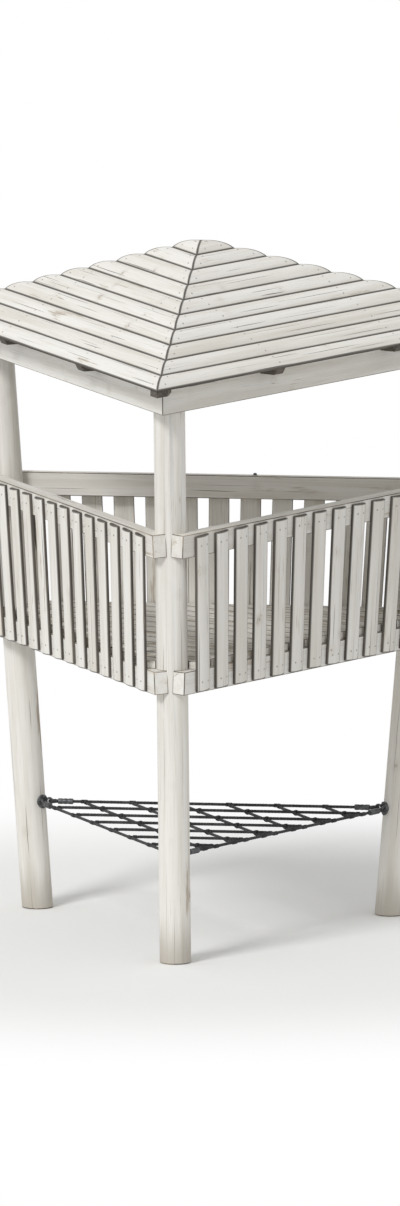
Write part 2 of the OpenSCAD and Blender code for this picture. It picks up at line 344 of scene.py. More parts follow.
def joint_dirt(tree, streak):
    """Dirt along a board's sides and ends, heavier in streaks."""
    from_end, from_side, _ = parts(attribute(tree, "rims"))
    rim = fade(maths("MINIMUM", from_end, from_side), DIRT_REACH, 0.0)
    rim = maths("SUBTRACT", rim, DIRT_STREAKS / 2)
    return fade(maths("MULTIPLY_ADD", streak, DIRT_STREAKS, rim), *DIRT_EDGE)


def splashed_soil(tree, streak):
    """Soil that rain throws up from the ground, higher in streaks."""
    reach = maths("MULTIPLY_ADD", streak, SPLASH_HEIGHT, SPLASH_HEIGHT / 3)
    return fade(parts(own_place(tree))[2], reach, 0.0)


def surface(colour, roughness, relief, strength, depth, specular=0.5, metal=0.0):
    """Ends a material: its colour, its roughness and its relief."""
    bump = add("ShaderNodeBump", {"Height": relief, "Strength": strength, "Distance": depth})
    shader = add("ShaderNodeBsdfPrincipled", {
        "Base Color": colour, "Roughness": roughness, "Metallic": metal,
        "Specular IOR Level": specular, "Normal": bump.outputs[0]})
    add("ShaderNodeOutputMaterial", {"Surface": shader.outputs[0]})


def timber_finish(name, wash=LIMEWASH, cover=0.62, rough=0.62, checks=0.3, rims=False,
                  splash=False):
    """A wash over wood, thinner in streaks and worn to the bare wood, with knots and checks."""
    material, tree = empty_material(name)
    grain = attribute(tree, "grain")
    from_heart = vectors("LENGTH", vectors("MULTIPLY", grain, (0, 1, 1)))
    marks = {label: grain_noise(grain, *noise) for label, noise in NOISES.items()}
    marks["tone"] = attribute(tree, "tone", "Fac")
    marks["streaks"] = fade(marks["streak"], *THIN_STREAKS)
    marks["raised"] = fade(marks["fibre"], *RAISED_FIBRES)
    marks["knot"], marks["swirl"] = knot_and_swirl(grain)
    marks["late"] = late_wood(from_heart, marks)
    marks["check"] = drying_checks(grain, from_heart, marks["twist"], checks)
    wear = summed(-WEAR["fibre"] / 2, WEAR, marks)
    marks["worn"] = fade(wear, cover, cover + WEAR_EDGE)
    bare = mix(maths("MULTIPLY", marks["late"], SHOWS["late"]), BARE_WOOD, LATE_WOOD)
    layers = {"raised": bare, "worn": bare, "knot": KNOT, "swirl": KNOT, "check": CHECK}
    if rims:
        marks["dirt"] = joint_dirt(tree, marks["streak"])
        layers["dirt"] = JOINT_DIRT
    if splash:
        marks["soil"] = splashed_soil(tree, marks["streak"])
        layers["soil"] = SOIL
    colour = mix(summed(0.0, THIN, marks), *wash)
    for label, over in layers.items():
        colour = mix(maths("MULTIPLY", marks[label], SHOWS[label]), colour, over)
    surface(colour, between(marks["worn"], rough, rough + WORN_ROUGHER),
            summed(0.0, RELIEF, marks), RELIEF_STRENGTH, RELIEF_DEPTH, SPECULAR)
    return material


def rounded(place):
    """A place to the tenth of a millimetre, to put things in the same order in every run."""
    return tuple(round(part, 4) for part in place)


def islands_of(bm):
    """The separate solids of a mesh, as lists of vertices."""
    left = set(bm.verts)
    found = []
    for start in bm.verts:
        if start not in left:
            continue
        left.discard(start)
        island, to_search = [start], [start]
        while to_search:
            vert = to_search.pop()
            others = [edge.other_vert(vert) for edge in vert.link_edges]
            others = [other for other in others if other in left]
            left.difference_update(others)
            island += others
            to_search += others
        found.append(island)
    return sorted(found, key=lambda island: min(rounded(vert.co) for vert in island))


def longest_way(edges):
    """The direction of the longest edge, always the same way round."""
    ways = [edge.verts[0].co - edge.verts[1].co for edge in edges]
    ways = [way if max(way, key=abs) > 0 else -way for way in ways]
    return max(ways, key=lambda way: (round(way.length, 4), rounded(way))).normalized()


def largest_face_out(faces):
    """The way that the largest face looks."""
    largest = max(faces, key=lambda face: (round(face.calc_area(), 6),
                                           rounded(face.calc_center_median())))
    return largest.normal


def store_grain(bm, chance, pith_depth):
    """Keeps for each solid its place in its own log, grain along X, and a tone of its own."""
    grain = bm.verts.layers.float_vector.new("grain")
    tone = bm.verts.layers.float.new("tone")
    for island in islands_of(bm):
        along = longest_way({edge for vert in island for edge in vert.link_edges})
        normal = largest_face_out({face for vert in island for face in vert.link_faces})
        through = (normal - along * normal.dot(along)).normalized()
        own_axes = Matrix((along, through.cross(along), through))
        places = [own_axes @ vert.co for vert in island]
        middle = (Vector(map(min, zip(*places))) + Vector(map(max, zip(*places)))) / 2
        shift = Vector((chance.uniform(0, LOG_STRETCH), chance.uniform(-PITH_ASIDE, PITH_ASIDE),
                        pith_depth))
        own_tone = chance.random()
        for vert, place in zip(island, places):
            vert[grain] = place - middle + shift
            vert[tone] = own_tone


def finish_mesh(bm, name):
    mesh = bpy.data.meshes.new(name)
    bm.to_mesh(mesh)
    bm.free()
    mesh.shade_smooth()
    mesh.set_sharp_from_angle(angle=CREASE)
    return mesh


def add_piece(name, mesh, slot, *nodes, even=False):
    """A piece that stands for nodes; with even, large faces outweigh arrises in its shading."""
    piece = new_object(name, mesh)
    if even:
        piece.modifiers.new("even_shading", "WEIGHTED_NORMAL").keep_sharp = True
    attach(piece, "root")
    if nodes:
        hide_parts(*nodes)


def worked_timber(node, arris, pith_depth, seed, finishes, slot, shape=None, up_to=math.inf):
    """A node's timber, or a shape made for it, with its sharp arrises below a height eased."""
    bm = shape or bmesh.new()
    if not shape:
        bm.from_mesh(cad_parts[node].data)
    bmesh.ops.remove_doubles(bm, verts=bm.verts, dist=WELD)
    bmesh.ops.dissolve_limit(bm, angle_limit=FLAT, verts=bm.verts, edges=bm.edges)
    sharp = [edge for edge in bm.edges if edge.calc_face_angle() > SHARP
             and max(vert.co.z for vert in edge.verts) < up_to]
    bmesh.ops.bevel(bm, geom=sharp, offset=arris, offset_type="OFFSET", segments=2, profile=0.5,
                    affect="EDGES", clamp_overlap=True, material=1)
    store_grain(bm, Random(seed), pith_depth)
    mesh = finish_mesh(bm, node + "_timber")
    for finish in finishes:
        mesh.materials.append(finish)
    add_piece(node + "_timber", mesh, slot, node, even=True)


log_finish = timber_finish("limewashed_log", splash=True, checks=0.55)
log_arris = timber_finish("worn_log_arris", wash=RUBBED, cover=0.50)
for number, corner in enumerate(CORNERS):
    worked_timber("post_" + corner, POST_ARRIS, POST_PITH, POST_SEED + number,
                  (log_finish, log_arris), "round_timber", up_to=FOOT_WORKED)

# Rails
# Sawn and planed bars, limewashed, in two rings round the deck. Their ends run past the
# posts and are let into them.
RAIL_ARRIS = 0.004
RAIL_PITH = 0.09
RAIL_SEED = 20
SIDES = {"back": 0, "left": 120, "right": 240}
sawn_finish = timber_finish("limewashed_sawn_timber", cover=0.63)
sawn_arris = timber_finish("worn_sawn_arris", wash=RUBBED, cover=0.50)
rails = [f"{ring}_rail_{side}" for side in SIDES for ring in ("bottom", "top")]
for number, rail in enumerate(rails):
    worked_timber(rail, RAIL_ARRIS, RAIL_PITH, RAIL_SEED + number, (sawn_finish, sawn_arris),
                  "sawn_timber")

# Deck
# Planks across the bottom rails and two joists, notched round the posts and screwed down.
# They are walked bare in places, and their eased arrises are unwashed and dark.
PLANK_ARRIS = 0.003
PLANK_PITH = 0.06
DECK_SEED = 41
# The dark unwashed finish is partly weathered bare wood and partly painted shade: on the rafters
# and on the roof boards' sawn edges it darkens the underside of the eaves as their shade would.
UNWASHED_WITH_PAINTED_SHADE = ((0.070, 0.061, 0.052, 1), (0.135, 0.120, 0.102, 1))
deck_finish = timber_finish("worn_deck_planks", cover=0.55, rough=0.68)
unwashed_with_painted_shade = timber_finish("weathered_timber_with_painted_shade", wash=UNWASHED_WITH_PAINTED_SHADE, cover=0.66, rough=0.75)
for node, slot in (("deck_joists", "sawn_timber"), ("deck_boards", "deck_planks")):
    worked_timber(node, PLANK_ARRIS, PLANK_PITH, DECK_SEED, (deck_finish, unwashed_with_painted_shade), slot)

# Roof frame
# A limewashed ring beam, let into the posts' outsides, carries unwashed rafters, dark from
# weathering and as painted shade under the eaves: one in each corner under the hip, and two
# under each side. Outside the beam their tails are cut level underneath.
BEAM_ARRIS = 0.004
BEAM_PITH = 0.09
BEAM_SEED = 50
RAFTER_ARRIS = 0.003
RAFTER_PITH = 0.03
RAFTER_SEED = 60
HIP_PITH = 0.05
HIP_SEED = 70
ROOF_PITCH = math.radians(29.75)
EAVE_REACH = 0.89737
EAVE_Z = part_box("roof_boards_back")[0].z
EAVE_OVERHANG = 0.109
MITRE_GAP = 0.001
FIT = 0.0003
RAFTER_W = 0.075
RAFTER_D = 0.032
RAFTER_X = 0.511
HIP_W = 0.090
HIP_D = 0.050
TAIL_Z = 3.006
TAIL_INSET = 0.001
cos_30 = math.cos(math.radians(30))
tan_pitch = math.tan(ROOF_PITCH)


def on_side(side):
    """From one side's own frame, its outside facing +Y, to the tower's."""
    return Matrix.Translation(TOWER_AXIS) @ Matrix.Rotation(math.radians(SIDES[side]), 4, "Z")


def side_on(outline, middle, width, bm):
    """Adds a member whose side is an outline in Y and Z, centred at middle along X."""
    rings = [[bm.verts.new((middle + half, y, z)) for y, z in outline]
             for half in (-width / 2, width / 2)]
    bm.faces.new(rings[0])
    bm.faces.new(reversed(rings[1]))
    for i in range(len(outline)):
        bm.faces.new((rings[0][i], rings[0][i - 1], rings[1][i - 1], rings[1][i]))


def cut(bm, place, normal):
    """Takes off what lies on the normal's side of a plane, and closes the cut."""
    everything = bm.verts[:] + bm.edges[:] + bm.faces[:]
    made = bmesh.ops.bisect_plane(bm, geom=everything, plane_co=place, plane_no=normal,
                                  clear_outer=True)["geom_cut"]
    rim = [part for part in made if isinstance(part, bmesh.types.BMEdge)]
    bmesh.ops.edgeloop_fill(bm, edges=rim)


def cut_to_wedge(bm, gap):
    """Keeps the third of the plan round +Y, its edges moved in by gap."""
    for degrees in (-60, -120):
        cut(bm, Vector((0, gap / cos_30, 0)), heading(degrees))


def moved_to(bm, place):
    """The finished shape, its faces outwards, at its place."""
    bmesh.ops.recalc_face_normals(bm, faces=bm.faces)
    bm.transform(place)
    return bm


def common_rafters(side):
    """Two rafters at the eave's thirds, their ends cut square to the slope."""
    def roof(out):
        return EAVE_Z + (EAVE_REACH - out) * tan_pitch

    beam = EAVE_REACH - EAVE_OVERHANG + FIT
    depth = RAFTER_D / math.cos(ROOF_PITCH)
    end = EAVE_REACH - TAIL_INSET
    outline = [(0, roof(0)), (0, roof(0) - depth), (beam, roof(beam) - depth), (beam, TAIL_Z),
               (end - (roof(end) - TAIL_Z) * tan_pitch, TAIL_Z), (end, roof(end))]
    bm = bmesh.new()
    for x in (-RAFTER_X, RAFTER_X):
        side_on(outline, x, RAFTER_W, bm)
    cut_to_wedge(bm, HIP_W / 2 + FIT)
    return moved_to(bm, on_side(side))


def hip_rafter(corner):
    """A hip rafter, bevelled to both slopes, its end cut plumb along both eaves."""
    def hip(out):
        return EAVE_Z + (2 * EAVE_REACH - out) * tan_pitch / 2

    beam = 2 * (EAVE_REACH - EAVE_OVERHANG) + FIT
    depth = HIP_D / math.cos(math.atan(tan_pitch / 2))
    tip = 2 * EAVE_REACH
    outline = [(0, hip(0) + depth), (0, hip(0) - depth), (beam, hip(beam) - depth),
               (beam, TAIL_Z), (tip, TAIL_Z), (tip, hip(tip) + depth)]
    bm = bmesh.new()
    side_on(outline, 0, HIP_W, bm)
    for out in (heading(30), heading(150)):
        eave = out * EAVE_REACH + UP * EAVE_Z
        cut(bm, eave, out * math.sin(ROOF_PITCH) + UP * math.cos(ROOF_PITCH))
        cut(bm, eave - out * TAIL_INSET, out)
    cut_to_wedge(bm, MITRE_GAP / 2)
    turn = Matrix.Rotation(math.radians(CORNERS[corner] - 90), 4, "Z")
    return moved_to(bm, Matrix.Translation(TOWER_AXIS) @ turn)


for number, side in enumerate(SIDES):
    worked_timber("ring_beam_" + side, BEAM_ARRIS, BEAM_PITH, BEAM_SEED + number,
                  (sawn_finish, sawn_arris), "sawn_timber")
    worked_timber("rafters_" + side, RAFTER_ARRIS, RAFTER_PITH, RAFTER_SEED + number,
                  (unwashed_with_painted_shade, unwashed_with_painted_shade), "sawn_timber", common_rafters(side))
for number, corner in enumerate(CORNERS):
    worked_timber("hip_rafter_" + corner, RAFTER_ARRIS, HIP_PITH, HIP_SEED + number,
                  (unwashed_with_painted_shade, unwashed_with_painted_shade), "sawn_timber", hip_rafter(corner))

# Pickets
# Half-round boards from the outsides of logs, flat back against the rails, thirteen on a
# side, fanned out with the posts and fixed with two screws on each rail.
RAIL_T = 0.075
RAIL_H = 0.120
RAIL_HOUSING = 0.030
RAIL_END_GAP = 0.024
BOTTOM_RAIL_H = 1.479
RAIL_SPACING = 0.710
BOARD_EDGE = 0.012
BOARD_CROWN = 0.014
BOARD_T = BOARD_EDGE + BOARD_CROWN
BOARD_SHIFT = (0.012, 0.004)
SHIFT_SEED = 7
PICKETS = 13
PICKET_W = 0.106
PICKET_MARGIN = 0.096
PICKET_INSET = 0.010
PICKET_ARRIS = 0.0025
PICKET_UNEVENNESS = 0.002
PICKET_SEED = 100
CROWN_STEPS = 14
LENGTH_STEPS = 12
post_r = POST_D / 2
foot_reach = FOOT_SPACING / math.sqrt(3)
side_lean = math.atan(math.tan(POST_LEAN) / 2)
splay = (math.sin(POST_LEAN) * cos_30
         / (math.sin(POST_LEAN) * math.sin(side_lean) / 2
            + math.cos(POST_LEAN) * math.cos(side_lean)))
rail_in = post_r - RAIL_HOUSING
rail_out = rail_in + RAIL_T
rail_past_post = (rail_in * cos_30 - RAIL_END_GAP / 2) * 2
top_rail_h = BOTTOM_RAIL_H + RAIL_SPACING
picket_mid_h = BOTTOM_RAIL_H + RAIL_SPACING / 2
half_picket = (RAIL_SPACING + RAIL_H) / 2 - PICKET_INSET


def post_offset(height):
    """Half the distance between two post axes, at a height up the leaning side."""
    return FOOT_SPACING / 2 + height * splay


def leaning_side(side):
    """The plane of two posts' axes: +Y out of it, and +Z up along it."""
    return (on_side(side) @ Matrix.Translation((0, foot_reach / 2, 0))
            @ Matrix.Rotation(-side_lean, 4, "X"))


def crown_radius(width):
    """The radius of a half-round board's face."""
    return ((width / 2) ** 2 + BOARD_CROWN ** 2) / (2 * BOARD_CROWN)


def half_log(width, ends, arris, turn=Matrix()):
    """A half-round board along X, flat back down, its ends' arrises eased; turn stands it up."""
    half = width / 2
    face_r = crown_radius(width)
    reach = math.asin(half / face_r)
    outline = [(-half + arris, 0), (half - arris, 0), (half, arris)]
    for i in range(CROWN_STEPS + 1):
        angle = reach * (1 - 2 * i / CROWN_STEPS)
        outline.append((face_r * math.sin(angle), BOARD_T - face_r * (1 - math.cos(angle))))
    outline.append((-half, arris))
    step = (ends[1] - ends[0] - 2 * arris) / LENGTH_STEPS
    rings = [(ends[0], arris)]
    rings += [(ends[0] + arris + i * step, 0) for i in range(LENGTH_STEPS + 1)]
    rings.append((ends[1], arris))
    bm = bmesh.new()
    grain = bm.verts.layers.float_vector.new("grain")
    rims = bm.verts.layers.float_vector.new("rims")
    sawn = bm.faces.layers.float.new("sawn")
    loops = []
    for x, shrink in rings:
        loops.append([])
        for y, z in outline:
            y_in = y * (1 - 2 * shrink / width)
            z_in = BOARD_T / 2 + (z - BOARD_T / 2) * (1 - 2 * shrink / BOARD_T)
            vert = bm.verts.new(turn @ Vector((x, y_in, z_in)))
            vert[grain] = (x, y_in, z_in)
            from_side = half - abs(y) if z else width
            vert[rims] = (min(x - ends[0], ends[1] - x), from_side, 0)
            loops[-1].append(vert)
    count = len(outline)
    sawn_sides = (1, 2, count - 2, count - 1)
    for first, second in zip(loops, loops[1:]):
        for i in range(count):
            j = (i + 1) % count
            face = bm.faces.new((first[i], second[i], second[j], first[j]))
            face[sawn] = float(i in sawn_sides)
    for end in (loops[0], reversed(loops[-1])):
        bm.faces.new(end)[sawn] = 1.0
    bmesh.ops.recalc_face_normals(bm, faces=bm.faces)
    return finish_mesh(bm, "half_log")


def new_tree(name, inputs):
    """A geometry tree with named inputs, each given as its value or as its kind of thing."""
    tree = bpy.data.node_groups.new(name, "GeometryNodeTree")
    for way in ("OUTPUT", "INPUT"):
        tree.interface.new_socket(name="Geometry", in_out=way, socket_type="NodeSocketGeometry")
    kept_inputs = {}
    for label, value in inputs.items():
        kind = value if isinstance(value, str) else type(value).__name__.title()
        socket = tree.interface.new_socket(name=label, in_out="INPUT",
                                           socket_type="NodeSocket" + kind)
        kept_inputs[label.replace(" ", "_").lower()] = (socket.identifier, value)
    return tree, kept_inputs, tree.nodes.new("NodeGroupInput").outputs


def run_tree(name, mesh, made_tree, **changed):
    """Runs a tree over a mesh, with some inputs changed, and returns the plain mesh it makes."""
    tree, inputs = made_tree
    carrier = new_object(name + "_carrier", mesh)
    modifier = carrier.modifiers.new(tree.name, "NODES")
    modifier.node_group = tree
    for label, (identifier, value) in inputs.items():
        modifier[identifier] = changed.get(label, value)
    made = bpy.data.meshes.new_from_object(
        carrier.evaluated_get(bpy.context.evaluated_depsgraph_get()))
    made.name = name
    bpy.data.objects.remove(carrier)
    return made


def geometry(kind, plugs=None, **settings):
    """The first output of a new geometry node."""
    return add("GeometryNode" + kind, plugs, **settings).outputs[0]


def keep(shape, name, value, kind="FLOAT_VECTOR", domain="POINT"):
    """Stores a named value on a shape's points or instances."""
    node = add("GeometryNodeStoreNamedAttribute", {"Geometry": shape, "Name": name},
               data_type=kind, domain=domain)
    shape.id_data.links.new(value, [s for s in node.inputs if s.name == "Value" and s.enabled][0])
    return node.outputs["Geometry"]


def kept(tree, name, kind="FLOAT_VECTOR"):
    return geometry("InputNamedAttribute", {"Name": name}, tree=tree, data_type=kind)


def by_chance(seed, low, high):
    """A number, or a vector, between two others."""
    kind, first, out = ("FLOAT_VECTOR", 0, 0) if isinstance(low, tuple) else ("FLOAT", 2, 1)
    plugs = {"Seed": seed, first: low, first + 1: high}
    return add("FunctionNodeRandomValue", plugs, data_type=kind).outputs[out]


def row_of(count, start, step):
    """Points in a straight row."""
    plugs = {"Count": count, "Start Location": start, "Offset": step}
    return geometry("MeshLine", plugs, mode="OFFSET")


def copies(pattern, points, **plugs):
    """A pattern object on every point."""
    shape = add("GeometryNodeObjectInfo", {"Object": pattern}).outputs["Geometry"]
    return geometry("InstanceOnPoints", {"Points": points, "Instance": shape, **plugs})


def own_grain(tree, boards, seed):
    """Realized boards, each with its own tone and its own place in the log."""
    aside, deeper = BOARD_SHIFT
    place = by_chance(maths("ADD", seed, SHIFT_SEED), (0, -aside, -deeper),
                      (LOG_STRETCH, aside, deeper))
    boards = keep(boards, "tone", by_chance(seed, 0.0, 1.0), "FLOAT", "INSTANCE")
    boards = keep(boards, "shift", place, domain="INSTANCE")
    boards = geometry("RealizeInstances", {"Geometry": boards})
    moved = vectors("ADD", kept(tree, "grain"), kept(tree, "shift"))
    return keep(boards, "grain", moved)


def end_tree(tree, shape, finish, on_sawn=None):
    """Makes the result real, in one finish or with a second on its sawn faces."""
    shape = geometry("RealizeInstances", {"Geometry": shape})
    shape = geometry("SetMaterial", {"Geometry": shape, "Material": finish})
    if on_sawn:
        sawn = maths("GREATER_THAN", kept(tree, "sawn", "FLOAT"), 0.5)
        shape = geometry("SetMaterial", {"Geometry": shape, "Selection": sawn, "Material": on_sawn})
    add("NodeGroupOutput", {"Geometry": shape})


def slat_row_tree():
    """A row of upright boards along X that fan out from the middle."""
    tree, inputs, given = new_tree("slat_row", {
        "Board": "Object", "Count": PICKETS, "Spacing": picket_spacing, "Splay": picket_splay,
        "Unevenness": PICKET_UNEVENNESS, "Seed": 1, "Face Finish": "Material",
        "Sawn Finish": "Material"})
    half = maths("MULTIPLY", maths("SUBTRACT", given["Count"], 1), -0.5)
    start = point(maths("MULTIPLY", half, given["Spacing"]))
    row = row_of(given["Count"], start, point(given["Spacing"]))
    x = parts(geometry("InputPosition", tree=tree))[0]
    lean = maths("ARCTANGENT", maths("MULTIPLY", x, given["Splay"]))
    boards = copies(given["Board"], row, Rotation=point(y=lean))
    drop = maths("MULTIPLY", by_chance(given["Seed"], -1.0, 0.0), given["Unevenness"])
    boards = geometry("TranslateInstances", {"Instances": boards, "Translation": point(z=drop)})
    boards = own_grain(tree, boards, given["Seed"])
    end_tree(tree, boards, given["Face Finish"], given["Sawn Finish"])
    return tree, inputs


def picket_row(name, side, number, pattern, on_face, on_sawn):
    """One side's row of pickets, or of what is on them, at its place."""
    row = run_tree(name, bpy.data.meshes.new("row"), slats, board=pattern,
                   seed=PICKET_SEED + number, face_finish=on_face, sawn_finish=on_sawn)
    row.transform(leaning_side(side) @ Matrix.Translation((0, rail_out, picket_mid_h)))
    return row


board_finish = timber_finish("limewashed_board", cover=0.62, rims=True)
half_top = post_offset(top_rail_h) + rail_past_post
picket_spacing = ((half_top - PICKET_MARGIN - PICKET_W / 2) * 2 / (PICKETS - 1)
                  * post_offset(picket_mid_h) / post_offset(top_rail_h))
picket_splay = splay / post_offset(picket_mid_h)
slats = slat_row_tree()
upright = Matrix(((0, 1, 0), (0, 0, 1), (1, 0, 0))).to_4x4()
picket = new_object("picket_pattern", half_log(PICKET_W, (-half_picket, half_picket),
                                               PICKET_ARRIS, upright))
for number, side in enumerate(SIDES):
    name = "pickets_" + side + "_row"
    row = picket_row(name, side, number, picket, board_finish, unwashed_with_painted_shade)
    add_piece(name, row, "log_boards", "pickets_" + side, even=True)
bpy.data.objects.remove(picket)

# Roof boards
# Half-round boards of the same kind, laid in ten courses along each eave with their round
# faces up, and mitred at the hips.
ROOF_BOARD_W = 0.102
ROOF_JOINT = 0.0017
ROOF_ARRIS = 0.0012
ROOF_COURSES = 10
ROOF_SEED = 200
tan_60 = math.tan(math.radians(60))


def roof_course_tree():
    """Courses of boards up a slope, each cut to length by the two hips' upright planes."""
    tree, inputs, given = new_tree("roof_courses", {
        "Board": "Object", "Count": ROOF_COURSES, "First": ROOF_BOARD_W / 2,
        "Spacing": ROOF_BOARD_W + ROOF_JOINT, "Slope": ROOF_PITCH, "Eave Reach": EAVE_REACH,
        "Eave Height": EAVE_Z, "Hip Start": MITRE_GAP / 2 / cos_30, "Seed": 1,
        "Face Finish": "Material", "Sawn Finish": "Material"})
    minus = {label: maths("MULTIPLY", given[label], -1.0)
             for label in ("First", "Spacing", "Slope")}
    row = row_of(given["Count"], point(y=minus["First"]), point(y=minus["Spacing"]))
    boards = own_grain(tree, copies(given["Board"], row), given["Seed"])
    eave = point(y=given["Eave Reach"], z=given["Eave Height"])
    boards = geometry("Transform", {"Geometry": boards, "Translation": eave,
                                    "Rotation": point(minus["Slope"])})
    x, y, z = parts(geometry("InputPosition", tree=tree))
    to_hip = maths("SUBTRACT", y, given["Hip Start"])
    half_length = maths("MULTIPLY", to_hip, tan_60)
    mitred = maths("MULTIPLY", x, half_length)
    grain_x, grain_y, grain_z = parts(kept(tree, "grain"))
    along = maths("ADD", mitred, maths("SUBTRACT", grain_x, x))
    boards = keep(boards, "grain", point(along, grain_y, grain_z))
    share, from_side, _ = parts(kept(tree, "rims"))
    from_mitre = maths("MULTIPLY", maths("MULTIPLY", share, half_length), 0.5)
    boards = keep(boards, "rims", point(from_mitre, from_side))
    boards = geometry("SetPosition", {"Geometry": boards, "Position": point(mitred, y, z)})
    end_tree(tree, boards, given["Face Finish"], given["Sawn Finish"])
    return tree, inputs


courses = roof_course_tree()
roof_finish = timber_finish("limewashed_roof_board", cover=0.64, rough=0.66, rims=True)
roof_board = new_object("roof_board_pattern", half_log(ROOF_BOARD_W, (-1, 1), ROOF_ARRIS))
for number, side in enumerate(SIDES):
    name = "roof_boards_" + side + "_courses"
    # The boards' sawn edges take the dark unwashed finish, which along the eave is painted shade
    # under the lowest course.
    slope = run_tree(name, bpy.data.meshes.new("slope"), courses, board=roof_board,
                     seed=ROOF_SEED + number, face_finish=roof_finish, sawn_finish=unwashed_with_painted_shade)
    slope.transform(on_side(side))
    add_piece(name, slope, "log_boards", "roof_boards_" + side, even=True)
bpy.data.objects.remove(roof_board)

# Rope net
# Black laid rope of six strands: three edge ropes that end in eyes, and a diamond mesh whose
# ropes are tucked into the edge ropes.
NET_Z = 0.554
NET_MESH = 0.250
ROPE_D = 0.016
NET_CORNER_INSET = 0.040
ROPE_EYE_R = 0.022
SLEEVE_D = 0.030
SLEEVE_LENGTH = 0.080
PLATE_T = 0.008
ANCHOR_BAR_D = 0.012
ANCHOR_PLAY = 0.001
STRANDS = 6
STRAND_SHARE = 1.1 / 6
CORD_SIDES = 6
LAY_LENGTH = 0.105
ROPE_STEP = 0.007
EYE_LEG = 0.0062
TAIL_LEG = EYE_LEG * 0.4
EYE_STEPS = 22
IN_SLEEVE = 0.9
JOINED_BY = 0.020
SHORT_TAIL = 0.012
MESH_DIP = 0.050
ROPE_COLOURS = ((0.020, 0.020, 0.022, 1), (0.060, 0.060, 0.064, 1))
ROPE_ROUGHNESS = (0.55, 0.75)
YARNS = 2600
YARN_SHIFT = 9
YARN_STRENGTH = 0.5
YARN_DEPTH = 0.0006
DUST = {"Scale": 16.0, "Detail": 4.0}
DUST_EDGE = (0.42, 0.75)
net_corner = foot_reach + NET_Z * math.tan(POST_LEAN) - NET_CORNER_INSET
net_side = net_corner * math.sqrt(3)
net_inset = net_corner / 2
at_surface = math.sqrt(post_r ** 2 - (NET_CORNER_INSET / 2) ** 2) - NET_CORNER_INSET * cos_30
anchor_eye_r = (ANCHOR_BAR_D + ROPE_D) / 2 + ANCHOR_PLAY
at_anchor_eye = at_surface + PLATE_T + anchor_eye_r + ANCHOR_BAR_D / 4
at_rope_eye = at_anchor_eye + ANCHOR_PLAY / 2 + ROPE_EYE_R
eye_x = net_side / 2 - at_rope_eye


def rope_finish():
    """Worn black fibre: fine yarns across the strands, and dust in patches."""
    material, tree = empty_material("black_laid_rope")
    along, strand, _ = parts(attribute(tree, "lay"))
    yarn = maths("MULTIPLY_ADD", along, YARNS, maths("MULTIPLY", strand, YARN_SHIFT))
    dust = add("ShaderNodeTexNoise", {"Vector": own_place(tree), **DUST}).outputs["Fac"]
    share = fade(dust, *DUST_EDGE)
    surface(mix(share, *ROPE_COLOURS), between(share, *ROPE_ROUGHNESS),
            maths("SINE", yarn), YARN_STRENGTH, YARN_DEPTH)
    return material


def scaled(vector, scale):
    return add("ShaderNodeVectorMath", {0: vector, "Scale": scale}, operation="SCALE").outputs[0]


def cords(tree, curves, radius, finish):
    """Round cords along curves, in one finish; ends the tree."""
    profile = geometry("CurvePrimitiveCircle", {"Resolution": CORD_SIDES, "Radius": radius})
    cord = geometry("CurveToMesh", {"Curve": curves, "Profile Curve": profile, "Fill Caps": True})
    end_tree(tree, cord, finish)


def laid_rope_tree():
    """Strands wound round each given line."""
    tree, inputs, given = new_tree("laid_rope", {
        "Rope Diameter": ROPE_D, "Strands": STRANDS, "Lay Length": LAY_LENGTH,
        "Step": ROPE_STEP, "Finish": "Material"})
    curves = geometry("MeshToCurve", {"Mesh": given["Geometry"]})
    curves = geometry("ResampleCurve", {"Curve": curves, "Length": given["Step"]}, mode="LENGTH")
    doubled = {"Geometry": curves, "Amount": given["Strands"]}
    strands = add("GeometryNodeDuplicateElements", doubled, domain="SPLINE")
    number = strands.outputs["Duplicate Index"]
    along = add("GeometryNodeSplineParameter", tree=tree).outputs["Length"]
    lays = maths("DIVIDE", along, given["Lay Length"])
    share = maths("DIVIDE", number, given["Strands"])
    angle = maths("MULTIPLY", maths("ADD", lays, share), 2 * math.pi)
    normal = geometry("InputNormal", tree=tree)
    side = vectors("CROSS_PRODUCT", geometry("InputTangent", tree=tree), normal)
    move = vectors("ADD", scaled(normal, maths("COSINE", angle)),
                   scaled(side, maths("SINE", angle)))
    strand_r = maths("MULTIPLY", given["Rope Diameter"], STRAND_SHARE)
    ring_r = maths("MULTIPLY", given["Rope Diameter"], 0.5 - STRAND_SHARE)
    wound = keep(strands.outputs["Geometry"], "lay", point(along, number))
    wound = geometry("SetPosition", {"Geometry": wound, "Offset": scaled(move, ring_r)})
    cords(tree, wound, strand_r, given["Finish"])
    return tree, inputs


def line_mesh(name, lines):
    """Open lines of points, each a run of edges."""
    points, edges = [], []
    for line in lines:
        edges += [(len(points) + i, len(points) + i + 1) for i in range(len(line) - 1)]
        points += line
    mesh = bpy.data.meshes.new(name)
    mesh.from_pydata(points, edges, [])
    return mesh


def edge_line():
    """One edge rope from tail to tail: out of a sleeve, round the eye and back, at each end."""
    mouth = eye_x - ROPE_EYE_R
    tail = mouth - SLEEVE_LENGTH * IN_SLEEVE
    opening = math.asin(EYE_LEG / ROPE_EYE_R)
    half = [(tail - JOINED_BY, 0), (tail, TAIL_LEG), (mouth, EYE_LEG)]
    for i in range(EYE_STEPS + 1):
        angle = math.pi - opening - i * (2 * math.pi - 2 * opening) / EYE_STEPS
        half.append((eye_x + ROPE_EYE_R * math.cos(angle), ROPE_EYE_R * math.sin(angle)))
    half += [(mouth, -EYE_LEG), (tail + SHORT_TAIL, -EYE_LEG)]
    other = [(-x, y) for x, y in reversed(half)]
    return [Vector((x, net_inset + y, NET_Z)) for x, y in other + half]


